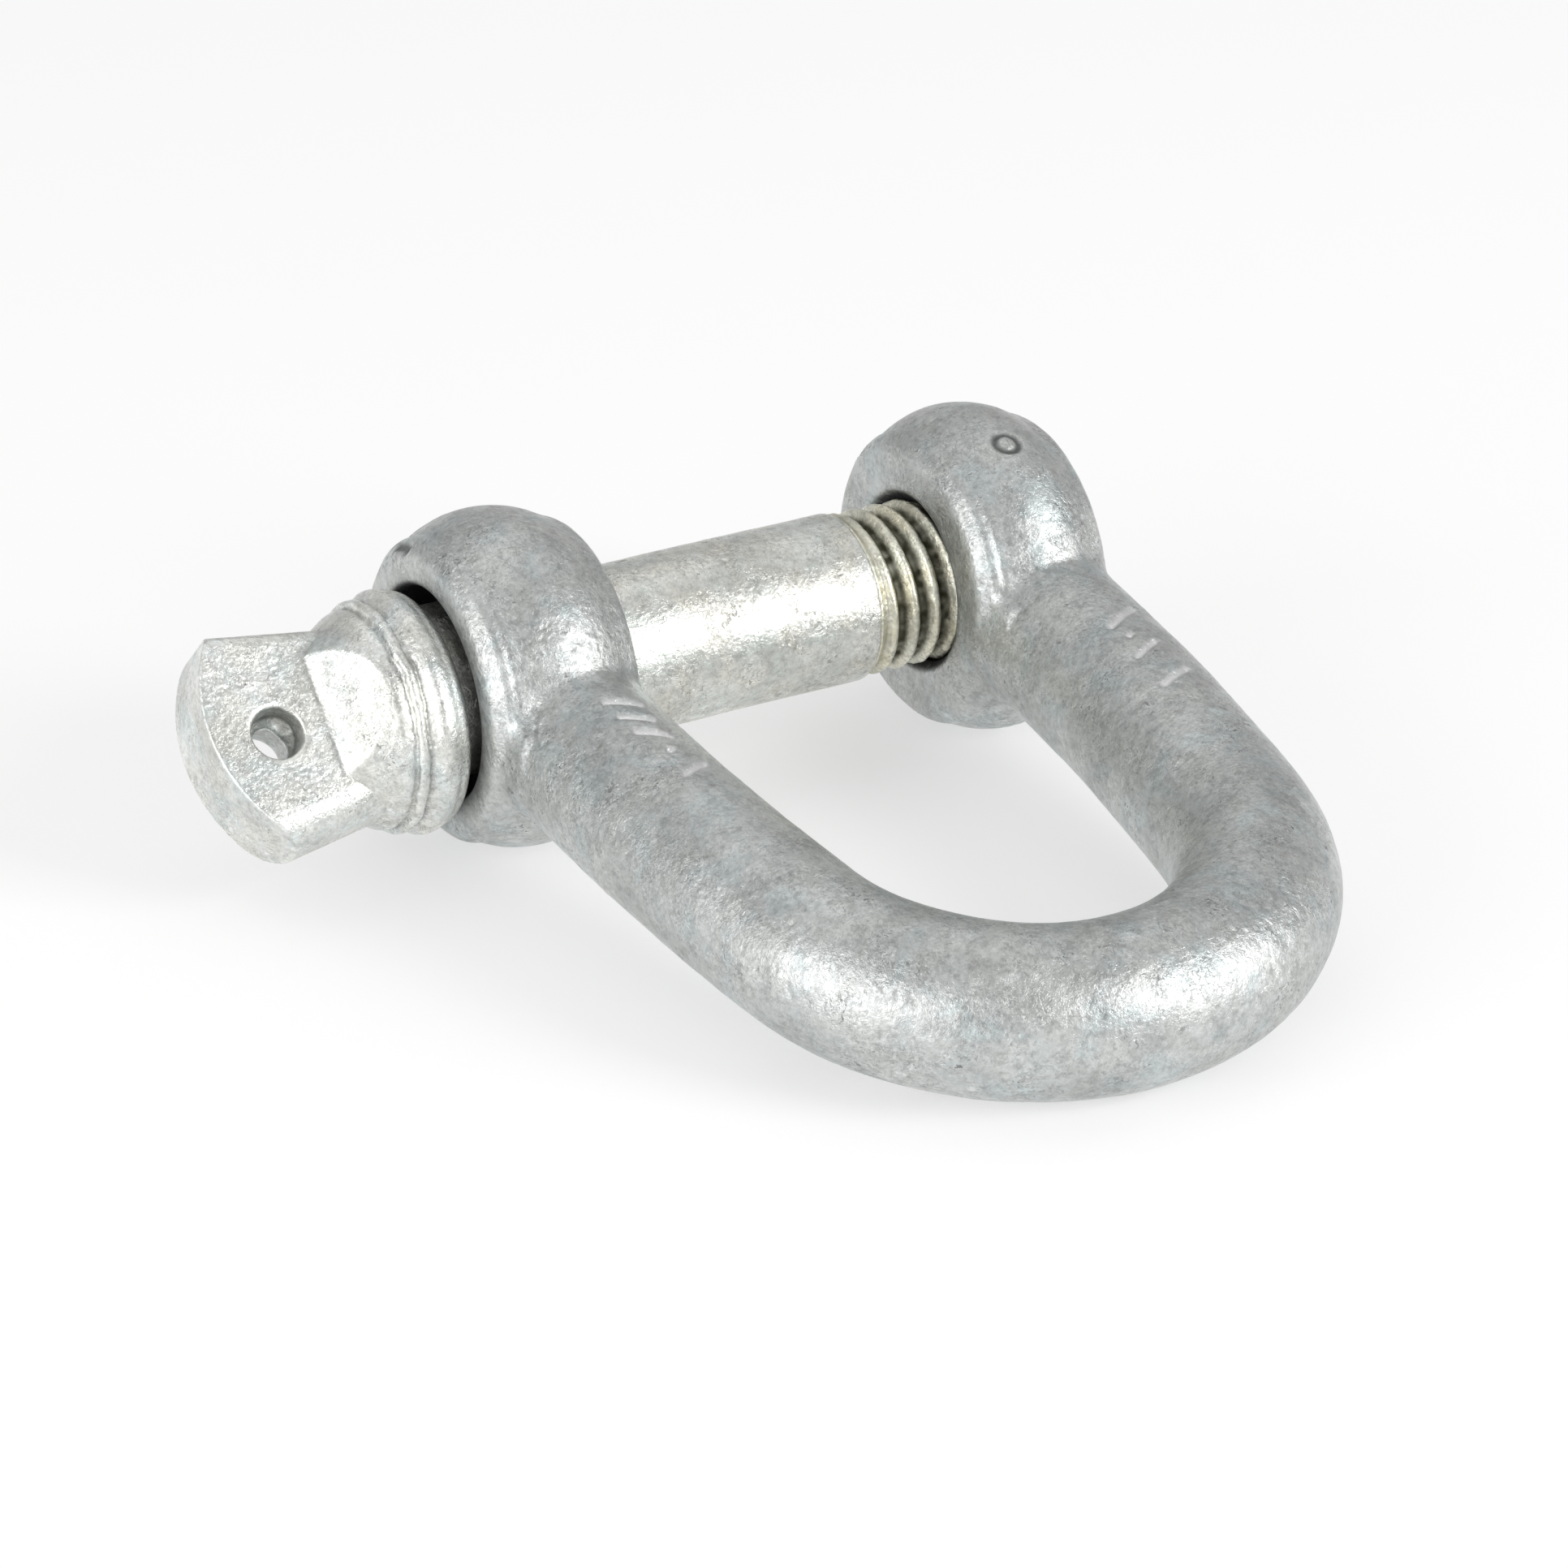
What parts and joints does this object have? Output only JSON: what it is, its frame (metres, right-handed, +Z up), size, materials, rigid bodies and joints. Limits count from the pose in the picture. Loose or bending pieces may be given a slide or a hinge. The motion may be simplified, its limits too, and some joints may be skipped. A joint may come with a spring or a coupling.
{
  "type": "screw pin shackle",
  "caption": "Forged galvanised shackle with a D-shaped bow and a screw pin that unscrews and draws out of its eyes.",
  "frame": {"origin": "on the pin's axis, in the middle of the jaw between the two eyes", "axes": "+X along the pin towards the tapped eye, +Z up with the shackle lying on its side, -Y towards the crown of the bow"},
  "size_m": [0.077, 0.0785, 0.0274],
  "materials": {
    "bow_zinc": "forged steel, hot-dip galvanised, dull mottled grey",
    "pin_zinc": "forged steel, galvanised, brighter and slightly warm grey"
  },
  "bodies": {
    "bow": {"bow": "bow_zinc"},
    "pin_travel": {"pin_shank": "pin_zinc"},
    "pin_turn": {"pin_head": "pin_zinc", "pin_thread": "pin_zinc"}
  },
  "joints": [
    {"name": "pin_travel", "type": "slide", "parent": "bow", "child": "pin_travel", "axis": [-1, 0, 0], "range_m": [-0.0006, 0.0555]},
    {"name": "pin_screw", "type": "hinge", "parent": "pin_travel", "child": "pin_turn", "pos_m": [0, 0, 0], "axis": [-1, 0, 0], "range_deg": [-108, 9990]}
  ],
  "couplings": [
    {"joint": "pin_screw", "follows": "pin_travel", "rad_per_m": 3141.6}
  ]
}
